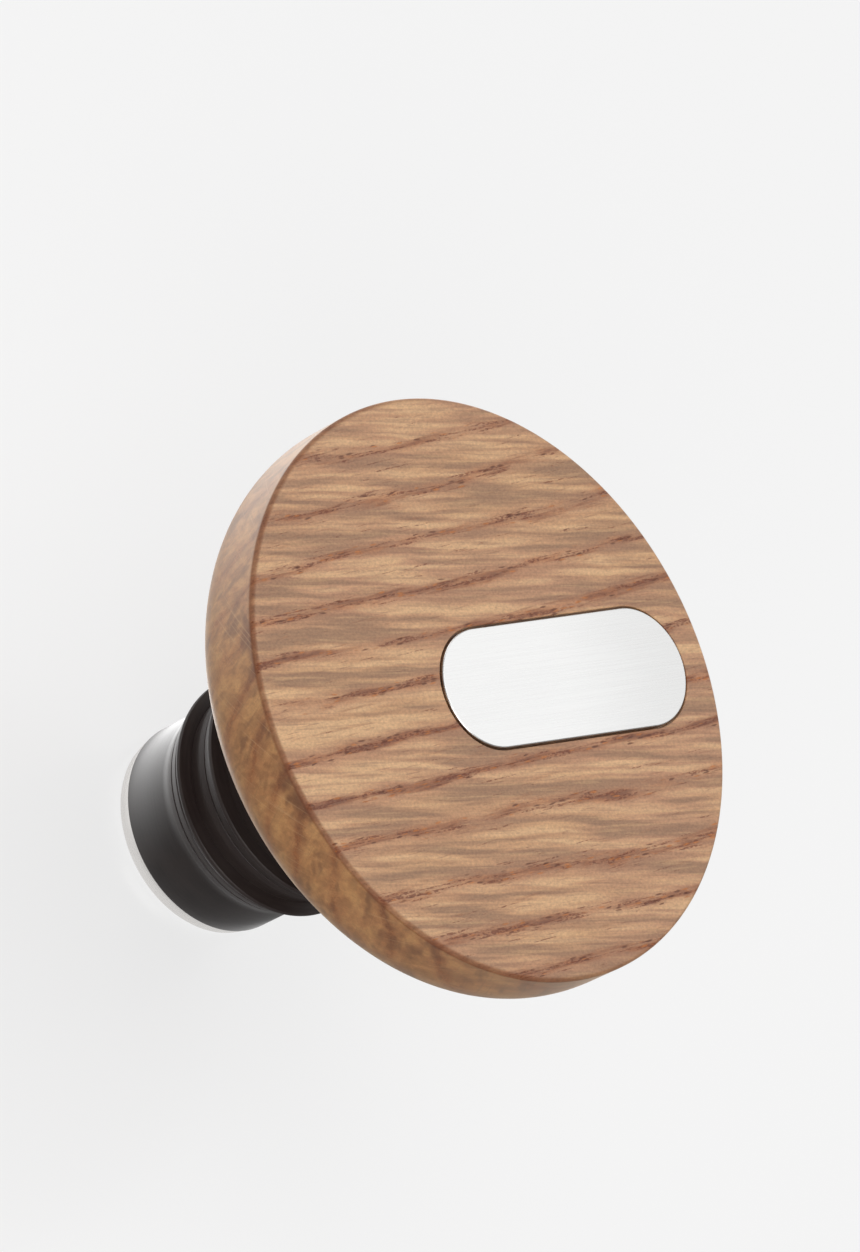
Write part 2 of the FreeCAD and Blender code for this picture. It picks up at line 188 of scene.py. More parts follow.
def stadium_inset(pts, end_r, cut):
    """The same points moved inwards by cut, along the stadium's own normals."""
    out = []
    for x, y in pts:
        cx = min(max(x, 0.0), PLATE_SPAN)
        dx, dy = x - cx, y
        s = math.hypot(dx, dy)
        out.append((cx + dx / s * (end_r - cut), dy / s * (end_r - cut)))
    return out


def make_knob():
    count = 560
    inner = stadium(RECESS_R, count)
    mid = PLATE_SPAN / 2
    # each stadium point looks outwards from the stadium's middle to the rim
    rim_angle = []
    for x, y in inner:
        dx, dy = x - mid, y
        s = math.hypot(dx, dy)
        dx, dy = dx / s, dy / s
        b = mid * dx
        t = -b + math.sqrt(b * b - mid * mid + 24.6 ** 2)
        rim_angle.append(math.atan2(dy * t, mid + dx * t))
    bore_angle = [math.atan2(y, x) for x, y in inner]

    def ring(r, z, angles):
        return [(r * math.cos(a), r * math.sin(a), z) for a in angles]

    def blend(a, b, t):
        return [tuple(p + (q - p) * t for p, q in zip(u, v)) for u, v in zip(a, b)]

    rings = []
    lip = 0.07
    for k in range(5):          # the recess's edge, lightly broken
        a = math.pi / 2 * k / 4
        grow = lip * (1 - math.cos(a))
        pts = stadium_inset(inner, RECESS_R, -grow)
        rings.append([(x, y, FACE_UP - lip + lip * math.sin(a)) for x, y in pts])
    near = [(x, y, FACE_UP) for x, y in stadium_inset(inner, RECESS_R, -lip - 0.05)]
    rings.append(near)
    # outside of the knob, from the face's edge down to its back
    outside = rounded([
        (20.0, FACE_UP), (24.95, FACE_UP, 0.35), (24.74, PLUG_TOP, 6.2), (10.0, PLUG_TOP),
    ], step=5.0, most=0.65)[1:-1]
    flat_edge = ring(outside[0][0], FACE_UP, rim_angle)
    for t in (0.25, 0.5, 0.75):
        rings.append(blend(near, flat_edge, t))
    for r, z in outside:
        rings.append(ring(r, z, rim_angle))
    back_edge = ring(outside[-1][0], PLUG_TOP, rim_angle)
    hole_edge = ring(2.45, PLUG_TOP, bore_angle)
    for t in (0.33, 0.66):
        rings.append(blend(back_edge, hole_edge, t))
    rings.append(hole_edge)
    rings.append(ring(2.25, PLUG_TOP + 0.2, bore_angle))
    rings.append(ring(2.25, HEAD_UP, bore_angle))
    rings.append(ring(4.6, HEAD_UP, bore_angle))
    rings.append(ring(4.6, RECESS_UP, bore_angle))
    wall = stadium_inset(inner, RECESS_R, 0.04)
    rings.append([(x, y, RECESS_UP) for x, y in wall])
    rings.append([(x, y, RECESS_UP + 0.05) for x, y in inner])
    verts, faces = [], []
    for r in rings:
        verts += r
    total = len(rings)
    for i in range(total):
        a, b = i * count, ((i + 1) % total) * count
        for k in range(count):
            j = (k + 1) % count
            faces.append((a + k, b + k, b + j, a + j))
    return finish_mesh("oak_knob", verts, faces, "knob")


def make_plate():
    count = 480
    base = stadium(PLATE_R, count)
    low, high = 36.30, 37.10
    rings = []

    def at(cut, z):
        rings.append([(x, y, z) for x, y in stadium_inset(base, PLATE_R, cut)])

    for k in range(4):          # underside edge, sheared clean
        a = math.pi / 2 * k / 3
        at(0.05 * (1 - math.sin(a)), low + 0.05 * (1 - math.cos(a)))
    at(0.0, low + 0.12)
    at(0.0, high - 0.16)
    for k in range(8):          # upper edge, rolled over in polishing
        a = math.pi / 2 * k / 7
        at(0.12 * (1 - math.cos(a)), high - 0.12 + 0.12 * math.sin(a))
    at(0.16, high)
    at(0.40, high)
    verts, faces = [], []
    for r in rings:
        verts += r
    for i in range(len(rings) - 1):
        a, b = i * count, (i + 1) * count
        for k in range(count):
            j = (k + 1) % count
            faces.append((a + k, a + j, b + j, b + k))

    # the two flats are strips across the plate, from each point to its mirror
    def cap(start, upward):
        for k in range(count // 2 - 1):
            quad = (start + k, start + k + 1, start + count - 2 - k, start + count - 1 - k)
            faces.append(quad if upward else tuple(reversed(quad)))

    cap((len(rings) - 1) * count, True)
    cap(0, False)
    return finish_mesh("steel_plate", verts, faces, "plate")


def make_seal():
    path = [(5.0, 1.6), (8.5, 1.6)]
    path += rounded([(8.5, 1.6), (9.03, 1.6, 0.05), (9.03, 6.05)], step=12.0)[1:-1]
    for z in (3.0, 4.5):
        path.append((9.03, z))
    path.append((9.03, 6.05))
    # plain sleeve, flaring by one arc to the first moulded line
    flare = ((7.83 - 6.05) ** 2 + 0.53 ** 2) / (2 * 0.53)
    path += arc_to((9.03, 6.05), (9.56, 7.83), flare, -1, 9)[:-1]
    tiers = [
        # line height, line r, tip height, tip r, foot r of the next tier
        (7.97, 9.56, 9.60, 10.35, 9.33),
        (12.54, 9.83, 14.12, 10.72, 9.70),
        (17.03, 10.32, 18.62, 11.20, 10.40),
    ]
    for i, (gz, gr, tz, tr, nr) in enumerate(tiers):
        # moulded line, bead, overhang up to the lip
        corners = [
            path[-1],
            (gr, gz - 0.14, 0.05),
            (gr - 0.28, gz, 0.06),
            (gr + 0.14, gz + 0.14, 0.08),
            (gr + 0.42, gz + 0.92, 0.05),
            (gr + 0.34, gz + 1.02, 0.04),
            (tr - 0.06, tz - 0.22),
        ]
        path += rounded(corners, step=15.0)[1:]
        path += arc_to((tr - 0.06, tz - 0.22), (tr - 0.04, tz + 0.27), 0.60, +1, 8)[:-1]
        # flat upper side, root, and the next tier leaning out to its band
        top = [
            path[-1],
            (tr - 0.04, tz + 0.27, 0.05),
            (nr - 0.10, tz + 0.42),
            (nr, tz + 0.72, 0.30),
        ]
        if i < 2:
            gz2, gr2 = tiers[i + 1][:2]
            top += [(gr2 - 0.06, gz2 - 0.87, 0.12), (gr2, gz2 - 0.14)]
            path += rounded(top, step=10.0)[1:-1]
        else:
            top += [(nr, 24.0)]
            path += rounded(top, step=10.0)[1:]
    path += rounded([(10.40, 24.0), (10.40, 26.95, 0.12), (9.5, 26.95)], step=18.0)[1:]
    path.append((5.0, 26.95))
    # the bore, closing the section
    for z in (20.0, 14.0, 8.0):
        path.append((5.0, z))
    return turned("silicone_seal", path, 384, "seal")


def make_core():
    path = [(0.0, 0.30)]
    path += rounded([
        (1.0, 0.30), (5.6, 0.30, 0.12), (5.9, 0.0, 0.10), (8.80, 0.0, 0.6),
        (8.80, 1.6, 0.06), (5.0, 1.6, 0.05), (5.0, 26.95, 0.10), (2.25, 26.95, 0.05),
        (2.0, 26.70, 0.02), (2.0, 16.45, 0.02), (0.3, 16.45),
    ], step=8.0)
    path.append((0.0, 16.45))
    return turned("steel_core", path, 288, "core")


# ----------------------------------------------------------------- materials
def lin(*rgb):
    """Display colour, 0 to 255, as linear light."""
    out = []
    for c in rgb:
        c /= 255.0
        out.append(c / 12.92 if c <= 0.04045 else ((c + 0.055) / 1.055) ** 2.4)
    return tuple(out) + (1.0,)


class Val:
    """A number in a node tree. Arithmetic on it makes Math nodes."""

    def __init__(self, tree, source):
        self.tree, self.source = tree, source

    def _op(self, name, *others, clamp=False):
        n = self.tree.nt.nodes.new("ShaderNodeMath")
        n.operation, n.use_clamp = name, clamp
        for i, o in enumerate((self,) + others):
            src = o.source if isinstance(o, Val) else o
            if isinstance(src, (int, float)):
                n.inputs[i].default_value = float(src)
            else:
                self.tree.nt.links.new(src, n.inputs[i])
        return Val(self.tree, n.outputs[0])

    def __add__(self, o): return self._op("ADD", o)
    def __radd__(self, o): return self._op("ADD", o)
    def __sub__(self, o): return self._op("SUBTRACT", o)
    def __rsub__(self, o): return Val(self.tree, float(o))._op("SUBTRACT", self)
    def __mul__(self, o): return self._op("MULTIPLY", o)
    def __rmul__(self, o): return self._op("MULTIPLY", o)
    def __truediv__(self, o): return self._op("DIVIDE", o)
    def pow(self, o): return self._op("POWER", o)
    def max(self, o): return self._op("MAXIMUM", o)
    def min(self, o): return self._op("MINIMUM", o)
    def fract(self): return self._op("FRACT")
    def floor(self): return self._op("FLOOR")
    def sqrt(self): return self._op("SQRT")
    def abs(self): return self._op("ABSOLUTE")
    def atan2(self, o): return self._op("ARCTAN2", o)

    def step(self, lo, hi, a=0.0, b=1.0, kind="SMOOTHSTEP"):
        """a below lo, b above hi, smooth between; lo may be above hi."""
        n = self.tree.nt.nodes.new("ShaderNodeMapRange")
        n.interpolation_type = kind
        n.clamp = True
        if lo > hi:
            lo, hi, a, b = hi, lo, b, a
        self.tree.nt.links.new(self.source, n.inputs["Value"])
        for key, v in (("From Min", lo), ("From Max", hi), ("To Min", a), ("To Max", b)):
            n.inputs[key].default_value = v
        return Val(self.tree, n.outputs["Result"])


class Tree:
    def __init__(self, name):
        self.mat = bpy.data.materials.new(name)
        self.mat.use_nodes = True
        self.nt = self.mat.node_tree
        self.nt.nodes.clear()
        self.out = self.nt.nodes.new("ShaderNodeOutputMaterial")
        self.bsdf = self.nt.nodes.new("ShaderNodeBsdfPrincipled")
        self.nt.links.new(self.bsdf.outputs[0], self.out.inputs["Surface"])

    def place(self):
        """x, y, z of the surface in the frame, in millimetres."""
        c = self.nt.nodes.new("ShaderNodeTexCoord")
        s = self.nt.nodes.new("ShaderNodeSeparateXYZ")
        self.nt.links.new(c.outputs["Object"], s.inputs[0])
        return [Val(self, s.outputs[i]) * 1000.0 for i in range(3)]

    def vec(self, x, y, z):
        n = self.nt.nodes.new("ShaderNodeCombineXYZ")
        for i, v in enumerate((x, y, z)):
            if isinstance(v, Val) and not isinstance(v.source, (int, float)):
                self.nt.links.new(v.source, n.inputs[i])
            else:
                n.inputs[i].default_value = float(v.source if isinstance(v, Val) else v)
        return n.outputs[0]

    def noise(self, x, y, z, detail=2.0, rough=0.5, dist=0.0, lac=2.0):
        n = self.nt.nodes.new("ShaderNodeTexNoise")
        n.inputs["Scale"].default_value = 1.0
        n.inputs["Detail"].default_value = detail
        n.inputs["Roughness"].default_value = rough
        n.inputs["Lacunarity"].default_value = lac
        n.inputs["Distortion"].default_value = dist
        self.nt.links.new(self.vec(x, y, z), n.inputs["Vector"])
        return Val(self, n.outputs[0])

    def cells(self, x, y, z, jitter=1.0):
        """Distance to the nearest cell's point, and that cell's own random number."""
        n = self.nt.nodes.new("ShaderNodeTexVoronoi")
        n.feature = "F1"
        n.inputs["Scale"].default_value = 1.0
        n.inputs["Randomness"].default_value = jitter
        self.nt.links.new(self.vec(x, y, z), n.inputs["Vector"])
        s = self.nt.nodes.new("ShaderNodeSeparateColor")
        self.nt.links.new(n.outputs["Color"], s.inputs[0])
        return Val(self, n.outputs["Distance"]), Val(self, s.outputs[0]), Val(self, s.outputs[1])

    def chance(self, v):
        n = self.nt.nodes.new("ShaderNodeTexWhiteNoise")
        n.noise_dimensions = "1D"
        self.nt.links.new(v.source, n.inputs["W"])
        return Val(self, n.outputs["Value"])

    def mix(self, f, a, b, kind="MIX"):
        n = self.nt.nodes.new("ShaderNodeMix")
        n.data_type, n.blend_type = "RGBA", kind
        n.clamp_factor = True
        fac, ca, cb = n.inputs[0], n.inputs[6], n.inputs[7]
        if isinstance(f, Val):
            self.nt.links.new(f.source, fac)
        else:
            fac.default_value = f
        for s, c in ((ca, a), (cb, b)):
            if isinstance(c, tuple):
                s.default_value = c
            else:
                self.nt.links.new(c, s)
        return n.outputs[2]

    def grey(self, v):
        n = self.nt.nodes.new("ShaderNodeCombineColor")
        for i in range(3):
            self.nt.links.new(v.source, n.inputs[i])
        return n.outputs[0]

    def bump(self, height, depth_mm, strength=1.0, after=None):
        n = self.nt.nodes.new("ShaderNodeBump")
        n.inputs["Strength"].default_value = strength
        n.inputs["Distance"].default_value = depth_mm * MM
        self.nt.links.new(height.source, n.inputs["Height"])
        if after is not None:
            self.nt.links.new(after, n.inputs["Normal"])
        return n.outputs[0]

    def to(self, key, value):
        s = self.bsdf.inputs[key]
        if isinstance(value, Val):
            self.nt.links.new(value.source, s)
        elif isinstance(value, (int, float)):
            s.default_value = value
        elif isinstance(value, tuple):
            s.default_value = value
        else:
            self.nt.links.new(value, s)


def oak():
    """Open-pored oak as one solid block of grain, so face and side agree. u runs
    along the growth lines, v across them; the rings lean through the thickness."""
    t = Tree("oak_oiled")
    x, y, z = t.place()

    def turn(deg):
        a = math.radians(deg)
        return x * math.cos(a) + y * math.sin(a), y * math.cos(a) - x * math.sin(a)

    u, v = turn(4.2)
    u2, v2 = turn(-5.2)

    # growth lines
    slow = t.noise(u * 0.020 + 3.1, v * 0.075, z * 0.06, 1.5, 0.5)
    wobble = t.noise(u * 0.15 + 9.0, v * 0.40, z * 0.4, 3.0, 0.55)
    ring = (v - z * 0.70) / 4.1 + (slow - 0.5) * 1.7 + (wobble - 0.5) * 0.34
    f = ring.fract()
    each = t.chance(ring.floor())
    thick = each * 0.45 + 0.55
    line = f.step(0.86, 1.0).max(f.step(0.20, 0.0)) * thick
    halo = f.step(0.62, 1.0).max(f.step(0.34, 0.0)) * thick
    patch = t.noise(u * 0.085 + 20.0, v * 0.30, z * 0.3, 2.0, 0.6).step(0.30, 0.56)
    line = line * (patch * 0.65 + 0.35)

    r = (x * x + y * y).sqrt().max(1.0)
    side = z.step(36.88, 36.60)
    flat = side * -0.75 + 1.0       # end grain hides most of the figure

    # reddish brown streaks that gather on the growth lines
    s1 = t.noise(u * 0.16 + 2.0, v * 1.7, z * 1.7, 3.0, 0.60, 0.20)
    streak = (s1 + line * 0.36).step(0.60, 0.82) * flat
    core = (s1 + line * 0.32).step(0.72, 0.90) * flat
    # open vessels: short rows of small dark beads, thickest on the lines
    s2 = t.noise(u * 0.25 + 6.0, v * 4.4, z * 4.4, 2.0, 0.55)
    rows = (s2 + line * 0.29).step(0.64, 0.75) * flat
    beads = t.noise(u * 3.0, v * 7.0, z * 7.0 + 3.0, 1.0, 0.5).step(0.42, 0.58)
    dots = rows * (beads * 0.8 + 0.2)
    warm = t.noise(u * 0.35 + 2.0, v * 1.6, z * 1.6 + 5.0, 1.0, 0.5).step(0.50, 0.62) * line

    # pores: short dashes on the surface, dots on the end grain
    shift = (t.noise(u * 0.6, v * 1.4, z * 1.4 + 7.0, 2.0, 0.5) - 0.5) * 1.4
    d, pick, tint = t.cells(u * 1.00, v * 4.6 + shift, z * 4.6)
    pore = d.step(0.56, 0.20) * (pick - line * 0.70).step(0.04, -0.10) * flat
    d2, pick2, _ = t.cells(u * 0.34 + 4.0, v * 7.0 + shift, z * 7.0)
    hair = d2.step(0.50, 0.12) * (pick2 - line * 0.40).step(0.16, 0.02) * flat

    # silvery figure: long pale and grey-brown bands across the growth lines
    sway = (t.noise(u2 * 0.10 + 1.0, v2 * 0.20, z * 0.2, 2.0, 0.5) - 0.5) * 1.5
    r1 = t.noise(u2 * 0.050 + 5.0, v2 * 0.75 + sway, z * 0.45, 1.0, 0.5, 0.06)
    r2 = t.noise(u2 * 0.085 + 8.0, v2 * 1.30 + sway, z * 0.8, 1.2, 0.5, 0.06)
    r3 = t.noise(u2 * 0.15 + 3.0, v2 * 3.0 + sway, z * 2.0, 2.0, 0.5, 0.05)
    band = r1 * 0.45 + r2 * 0.55 - halo * 0.03
    calm = side * -0.45 + 1.0
    light, dark = band.step(0.48, 0.60) * calm, band.step(0.51, 0.40) * calm
    fibre = t.noise(u2 * 0.28, v2 * 7.5, z * 7.5, 3.0, 0.6)
    speck = t.noise(x * 3.4, y * 5.0, z * 5.0, 2.0, 0.65)
    tone = t.noise(u * 0.03 + 1.0, v * 0.075 + 2.0, z * 0.05, 2.0, 0.5)

    c = t.mix(tone.step(0.38, 0.62), lin(178, 130, 94), lin(182, 136, 94))
    c = t.mix(light * 0.82, c, lin(207, 165, 120))
    c = t.mix(dark * 0.84, c, lin(142, 104, 73))
    c = t.mix(r3.step(0.52, 0.68) * 0.30 * calm, c, lin(208, 164, 114))
    c = t.mix(r3.step(0.48, 0.34) * 0.34 * calm, c, lin(130, 88, 60))
    c = t.mix(halo * 0.56, c, lin(168, 115, 81))
    c = t.mix(warm * 0.68 * calm, c, lin(182, 114, 62))
    c = t.mix(line * 0.48 * calm, c, lin(148, 90, 50))
    c = t.mix(streak * 0.64, c, lin(132, 74, 35))
    c = t.mix(core * 0.50, c, lin(92, 44, 22))
    c = t.mix(dots * 0.80, c, lin(104, 45, 15))
    c = t.mix(hair * 0.40, c, lin(124, 74, 44))
    # some pores are filled with oil and glow orange, the rest are dark
    c = t.mix(pore * tint.step(0.45, 0.60) * 0.75, c, lin(176, 106, 52))
    c = t.mix(pore * tint.step(0.55, 0.40) * 0.85, c, lin(92, 48, 28))

    # turned side: end grain drinks more oil, and shows its crossed sanding marks
    c = t.mix(side, c, t.mix(1.0, c, (0.97, 0.855, 0.645, 1.0), "MULTIPLY"))
    around = (y * -1.0).atan2(x * -1.0) * 24.9

    def marks(deg, along, across, seed):
        a = math.radians(deg)
        p = around * math.cos(a) + z * math.sin(a)
        q = z * math.cos(a) - around * math.sin(a)
        return t.noise(p * along + seed, q * across, seed, 2.0, 0.6)

    blot = marks(-52.0, 0.26, 0.60, 4.0)
    c = t.mix(side * blot.step(0.52, 0.68) * 0.56, c, lin(110, 70, 42))
    c = t.mix(side * blot.step(0.46, 0.30) * 0.24, c, lin(188, 144, 92))
    # it drinks most where a growth line meets the front edge
    soak = (marks(24.0, 0.16, 0.40, 7.0) + halo * 0.14 + line * 0.10).step(0.54, 0.72)
    c = t.mix(side * soak * z.step(32.6, 36.2) * 0.60, c, lin(104, 60, 34))
    sand1, sand2 = marks(37.0, 0.10, 5.5, 1.0), marks(-64.0, 0.14, 5.0, 2.0)
    c = t.mix(side * sand1.step(0.58, 0.72) * 0.30, c, lin(206, 166, 120))
    c = t.mix(side * sand2.step(0.58, 0.72) * 0.26, c, lin(118, 82, 58))
    # painted shade: the front edge is darkened, in blotches, on its -X side towards the camera,
    # where less light falls on it
    edge = r.step(24.45, 24.82) * z.step(36.40, 36.72) * x.step(10.0, -6.0)
    c = t.mix(edge * (blot * 0.7 + 0.30), c, lin(112, 60, 34))

    level = (fibre - 0.5) * 0.38 + (speck - 0.5) * (side * -0.40 + 0.80) + 1.0
    c = t.mix(1.0, c, t.grey(level), "MULTIPLY")
    t.to("Base Color", c)
    t.to("Roughness", (fibre - 0.5) * 0.16 + pore * 0.25 + streak * 0.06 + edge * 0.25 + 0.46)
    t.to("Specular IOR Level", 0.5)
    t.to("Coat Weight", (edge * -1.0 + 1.0) * (side * 0.42 - dots * 0.22 + 0.28))
    t.to("Coat Roughness", 0.30)
    # fine sanded fibres, a pale bloom where the wood turns away
    t.to("Sheen Weight", 0.50)
    t.to("Sheen Roughness", 0.35)
    t.to("Sheen Tint", lin(255, 232, 208))
    height = fibre * 0.20 + speck * 0.08 - pore * 0.95 - hair * 0.35 - core * 0.20 - dots * 0.45 \
        + side * (sand1 + sand2) * 0.18
    t.to("Normal", t.bump(height, 0.040, 0.5))
    return t.mat


def brushed(name, base, along, rough=0.26, streak=0.5, depth=0.006):
    """Brushed steel. along is "x" for a plate brushed along its length, or
    "round" for a turning, whose tool lines run round the axis."""
    t = Tree(name)
    x, y, z = t.place()
    if along == "x":
        warp = (t.noise(x * 0.12, y * 0.12, z, 1.0, 0.5) - 0.5) * 0.5
        n1 = t.noise(x * 0.045, y * 9.0 + warp, z * 9.0, 4.0, 0.65)
        n2 = t.noise(x * 0.30 + 5.0, y * 24.0 + warp, z * 24.0, 3.0, 0.6)
        cloud = t.noise(x * 0.10, y * 0.35, z * 0.35, 2.0, 0.5)
    else:
        r = (x * x + y * y).sqrt().max(0.01)
        k = r + z * 0.73
        n1 = t.noise(x / r * 1.1, y / r * 1.1, k * 7.0, 4.0, 0.65)
        n2 = t.noise(x / r * 3.0, y / r * 3.0, k * 22.0, 3.0, 0.6)
        cloud = t.noise(x * 0.25, y * 0.25, z * 0.25, 2.0, 0.5)
    lines = n1 * 0.6 + n2 * 0.4
    level = (lines - 0.5) * (0.16 * streak) + (cloud - 0.5) * 0.05 + 1.0
    # painted shade: the plate is darkened towards its far end, standing in for the dimmer
    # reflection it shows there
    if along == "x":
        level = level - x.step(6.0, 22.0) * 0.11
    t.to("Base Color", t.mix(1.0, base, t.grey(level), "MULTIPLY"))
    t.to("Metallic", 1.0)
    t.to("Roughness", (lines - 0.5) * 0.22 + (cloud - 0.5) * 0.06 + rough)
    t.to("Normal", t.bump(lines, depth, 0.6))
    return t.mat


def silicone():
    t = Tree("silicone_black")
    x, y, z = t.place()
    r = (x * x + y * y).sqrt().max(0.01)
    k = r * 0.8 + z
    turn = t.noise(x / r * 2.2, y / r * 2.2, k * 5.5, 3.0, 0.6)
    rings = t.noise(x / r * 0.4, y / r * 0.4, z * 3.2 + 9.0, 1.5, 0.5)
    fine = t.noise(x * 6.0, y * 6.0, z * 9.0, 3.0, 0.6)
    wipe = t.noise(x * 0.22, y * 0.22, z * 0.35 + 4.0, 2.0, 0.5)
    dust = t.cells(x * 1.6, y * 1.6, z * 1.6)
    mote = dust[0].step(0.10, 0.04) * dust[1].step(0.86, 0.90)
    upper = z.step(6.2, 7.5)
    c = t.mix(turn.step(0.35, 0.68), lin(28, 20, 18), lin(36, 28, 26))
    # painted light: the fins above the sleeve get a lighter colour than it, which lifts the shade
    # they lie in under the knob
    d = t.mix(turn.step(0.35, 0.68), lin(43, 33, 31), lin(53, 44, 41))
    c = t.mix(upper, c, d)
    c = t.mix(wipe.step(0.45, 0.70) * 0.3, c, lin(50, 40, 37))
    c = t.mix(mote * 0.4, c, lin(84, 76, 70))
    t.to("Base Color", c)
    # the plain sleeve is glossier than the fins above it
    t.to("Roughness", (turn - 0.5) * 0.14 + (wipe - 0.5) * 0.10 + (fine - 0.5) * 0.06
         + upper * 0.10 + 0.33)
    t.to("Specular IOR Level", 0.50)
    t.to("Coat Weight", upper * -0.50 + 0.50)
    t.to("Coat Roughness", 0.33)
    first = t.bump(turn * 0.6 + fine * 0.4, 0.012, 0.5)
    t.to("Normal", t.bump(rings * upper, 0.05, 0.6, after=first))
    return t.mat


def adhesive():
    t = Tree("adhesive_film")
    x, y, z = t.place()
    foam = t.noise(x * 3.0, y * 3.0, z * 3.0, 3.0, 0.6)
    cell = t.cells(x * 2.2, y * 2.2, z * 2.2)[0]
    c = t.mix(foam.step(0.35, 0.65), lin(226, 224, 214), lin(240, 238, 230))
    c = t.mix(cell.step(0.5, 0.2) * 0.25, c, lin(206, 203, 192))
    t.to("Base Color", c)
    t.to("Roughness", (foam - 0.5) * 0.2 + 0.62)
    t.to("Normal", t.bump(foam * 0.6 + cell * 0.4, 0.02, 0.5))
    return t.mat


def zinc():
    t = Tree("zinc_plated")
    x, y, z = t.place()
    r = (x * x + y * y).sqrt().max(0.01)
    grain = t.noise(x * 5.0, y * 5.0, z * 5.0, 3.0, 0.6)
    lines = t.noise(x / r * 1.5, y / r * 1.5, (z + r * 0.7) * 6.0, 3.0, 0.6)
    spangle = t.cells(x * 3.0, y * 3.0, z * 3.0)[1]
    c = t.mix(grain.step(0.35, 0.65), lin(186, 190, 196), lin(206, 206, 200))
    c = t.mix(spangle * 0.18, c, lin(168, 176, 188))
    t.to("Base Color", c)
    t.to("Metallic", 1.0)
    t.to("Roughness", (grain - 0.5) * 0.2 + spangle * 0.08 + 0.30)
    t.to("Normal", t.bump(lines * 0.6 + grain * 0.4, 0.01, 0.5))
    return t.mat


def give(ob, mat):
    ob.data.materials.clear()
    ob.data.materials.append(mat)


knob = make_knob()
plate = make_plate()
seal = make_seal()
core = make_core()
give(knob, oak())
give(plate, brushed("plate_brushed", (0.73, 0.73, 0.725, 1.0), "x", rough=0.28, streak=1.5))
give(core, brushed("core_turned", (0.75, 0.73, 0.71, 1.0), "round", rough=0.28, streak=1.0,
                   depth=0.010))
give(seal, silicone())
for node, mat in (("adhesive_pad", adhesive()), ("fixing_screw", zinc())):
    give(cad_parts[node], mat)


# --------------------------------------------------------------------- stage
def floor_mat():
    """Pale, and lit from below like a studio light table, so that shadows stay light. What the
    part sees of it is a glow with painted light and shadow: painted light towards +Y, where the
    key stands, a painted shadow of the knob round the plug, and painted shade at the plug's foot."""
    t = Tree("studio_floor")
    x, y, z = t.place()
    r = (x * x + y * y).sqrt().max(1.0)
    toward = (y * 0.985 + x * 0.174) / r
    # painted light and shadow in the glow: brightest towards +Y, cut to a quarter from 17 to 34
    # mm out as a painted shadow of the knob, and held at an even 0.72 inside 10.2 mm as painted
    # contact shade at the foot
    wide = toward.step(-0.25, 1.00, 0.05, 1.45) * r.step(34.0, 54.0, 0.25, 1.0)
    close = toward.step(-0.60, 1.00, 0.14, 2.90)
    near, foot = r.step(17.0, 12.5), r.step(10.6, 10.2)
    glow = wide + (close - wide) * near
    glow = glow + (glow * -1.0 + 0.72) * foot
    seen = t.bsdf
    t.to("Base Color", (0.16, 0.16, 0.16, 1.0))
    t.to("Roughness", 0.25)
    t.to("Specular IOR Level", 0.25)
    t.to("Emission Color", (1.0, 1.0, 1.0, 1.0))
    t.to("Emission Strength", 0.72)
    t.bsdf = t.nt.nodes.new("ShaderNodeBsdfPrincipled")
    t.to("Base Color", (0.15, 0.15, 0.15, 1.0))
    t.to("Roughness", 0.60)
    t.to("Emission Color", (1.0, 1.0, 1.0, 1.0))
    t.to("Emission Strength", glow)
    ray = t.nt.nodes.new("ShaderNodeLightPath")
    both = t.nt.nodes.new("ShaderNodeMixShader")
    t.nt.links.new(ray.outputs["Is Camera Ray"], both.inputs[0])
    t.nt.links.new(t.bsdf.outputs[0], both.inputs[1])
    t.nt.links.new(seen.outputs[0], both.inputs[2])
    # clear when looked at from below, so that the underside of the part can be seen
    geo = t.nt.nodes.new("ShaderNodeNewGeometry")
    below = t.nt.nodes.new("ShaderNodeMath")
    below.operation = "MULTIPLY"
    t.nt.links.new(geo.outputs["Backfacing"], below.inputs[0])
    t.nt.links.new(ray.outputs["Is Camera Ray"], below.inputs[1])
    clear = t.nt.nodes.new("ShaderNodeBsdfTransparent")
    whole = t.nt.nodes.new("ShaderNodeMixShader")
    t.nt.links.new(below.outputs[0], whole.inputs[0])
    t.nt.links.new(both.outputs[0], whole.inputs[1])
    t.nt.links.new(clear.outputs[0], whole.inputs[2])
    t.nt.links.new(whole.outputs[0], t.out.inputs["Surface"])
    return t.mat


def plane(name, size, z):
    me = bpy.data.meshes.new(name)
    s = size / 2
    me.from_pydata([(-s, -s, z), (s, -s, z), (s, s, z), (-s, s, z)], [], [(0, 1, 2, 3)])
    ob = bpy.data.objects.new(name, me)
    bpy.context.scene.collection.objects.link(ob)
    return ob


floor = plane("studio_floor", 12.0, -0.00002)
give(floor, floor_mat())


def area(name, at, size, radiance, target=(0.0, 0.0, 0.02), colour=(1.0, 1.0, 1.0)):
    """Square softbox of the given radiance, aimed at target. Metres."""
    lamp = bpy.data.lights.new(name, "AREA")
    lamp.shape = "SQUARE"
    lamp.size = size
    lamp.energy = radiance * math.pi * size * size
    lamp.color = colour
    ob = bpy.data.objects.new(name, lamp)
    ob.location = at
    ob.rotation_mode = "QUATERNION"
    ob.rotation_quaternion = (Vector(target) - Vector(at)).to_track_quat("-Z", "Y")
    bpy.context.scene.collection.objects.link(ob)
    return ob


area("softbox_far", (0.84, 0.20, 0.84), 1.1, 0.95)
area("softbox_key", (0.05, 1.00, 0.44), 0.7, 1.6)
area("softbox_front", (-0.66, -0.56, 0.52), 0.9, 2.6)
area("softbox_top", (0.0, 0.02, 1.00), 0.9, 1.2)

scene = bpy.context.scene
world = bpy.data.worlds.new("studio")
scene.world = world
world.use_nodes = True
wn = world.node_tree
wn.nodes.clear()
wo = wn.nodes.new("ShaderNodeOutputWorld")
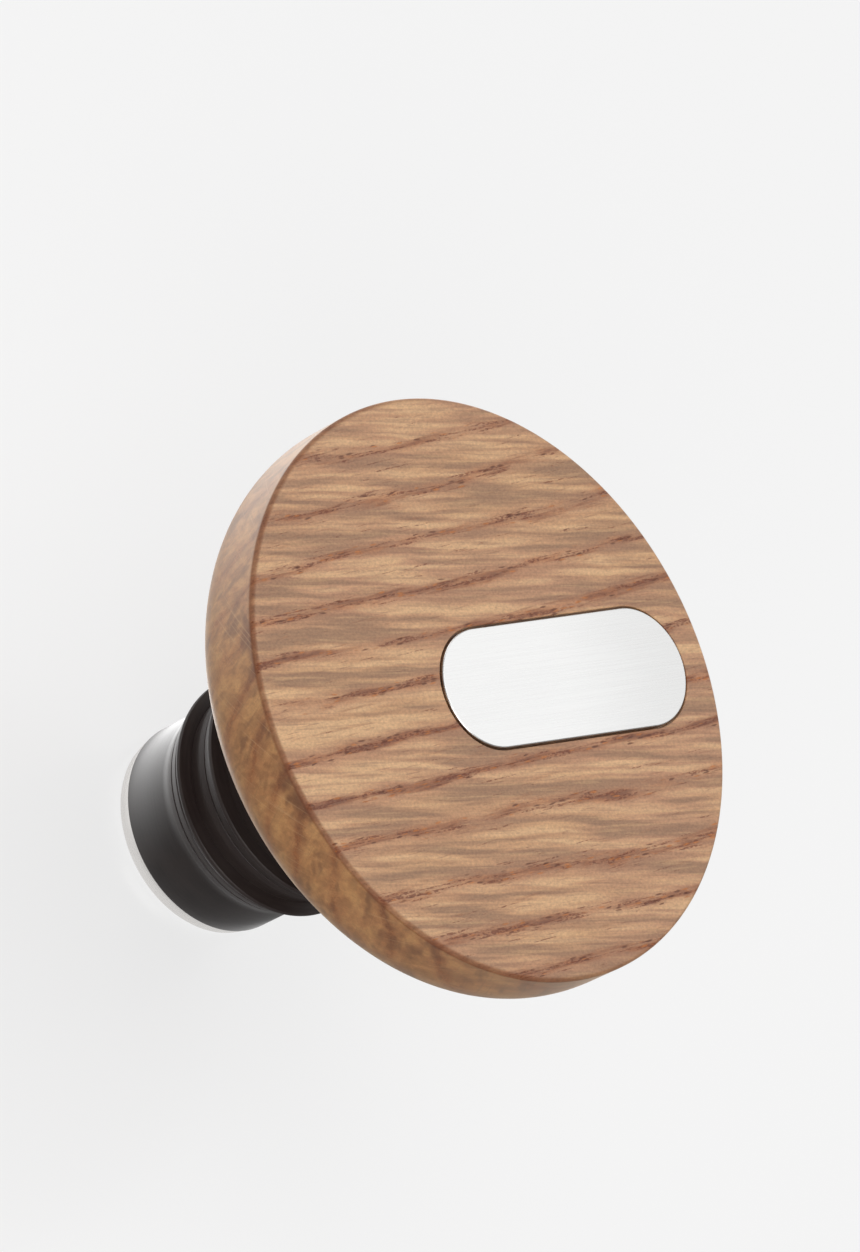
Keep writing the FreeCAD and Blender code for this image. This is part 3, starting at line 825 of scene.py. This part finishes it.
# a white room, brighter on the far side and darker on the camera's
where = wn.nodes.new("ShaderNodeTexCoord")
toward = wn.nodes.new("ShaderNodeVectorMath")
toward.operation = "DOT_PRODUCT"
toward.inputs[1].default_value = Vector((0.72, 0.42, 0.55)).normalized()
wn.links.new(where.outputs["Generated"], toward.inputs[0])
fade = wn.nodes.new("ShaderNodeMapRange")
fade.interpolation_type = "SMOOTHSTEP"
for key, value in (("From Min", -0.75), ("From Max", 0.85), ("To Min", 0.20), ("To Max", 0.30)):
    fade.inputs[key].default_value = value
wn.links.new(toward.outputs["Value"], fade.inputs["Value"])
bg = wn.nodes.new("ShaderNodeBackground")
bg.inputs["Color"].default_value = (1.0, 1.0, 1.0, 1.0)
wn.links.new(fade.outputs["Result"], bg.inputs["Strength"])
seen = wn.nodes.new("ShaderNodeBackground")
seen.inputs["Color"].default_value = (0.888, 0.888, 0.888, 1.0)
seen.inputs["Strength"].default_value = 1.0
ray = wn.nodes.new("ShaderNodeLightPath")
both = wn.nodes.new("ShaderNodeMixShader")
wn.links.new(ray.outputs["Is Camera Ray"], both.inputs[0])
wn.links.new(bg.outputs[0], both.inputs[1])
wn.links.new(seen.outputs[0], both.inputs[2])
wn.links.new(both.outputs[0], wo.inputs["Surface"])

scene.view_settings.view_transform = "Standard"
scene.view_settings.look = "None"

# -------------------------------------------------------------------- camera
# Placed by fitting the rim, the plate and the plug's outline; 20696 px is the
# focal length for the 860 x 1252 frame, whose long side is the sensor's 36 mm.
lens = bpy.data.cameras.new("camera")
lens.sensor_fit = "AUTO"
lens.sensor_width = 36.0
lens.lens = 20695.82 * 36.0 / 1252.0
lens.clip_start, lens.clip_end = 0.05, 50.0
lens.dof.use_dof = False
camera = bpy.data.objects.new("camera", lens)
right = Vector((0.7088921, -0.29406378, 0.64109164))
up = Vector((0.09726883, 0.94101562, 0.32408083))
back = right.cross(up)
m = Matrix((right, up, back)).transposed().to_4x4()
m.translation = Vector((-1.17216505, -0.27398124, 1.19982644))
camera.matrix_world = m
scene.collection.objects.link(camera)
scene.camera = camera
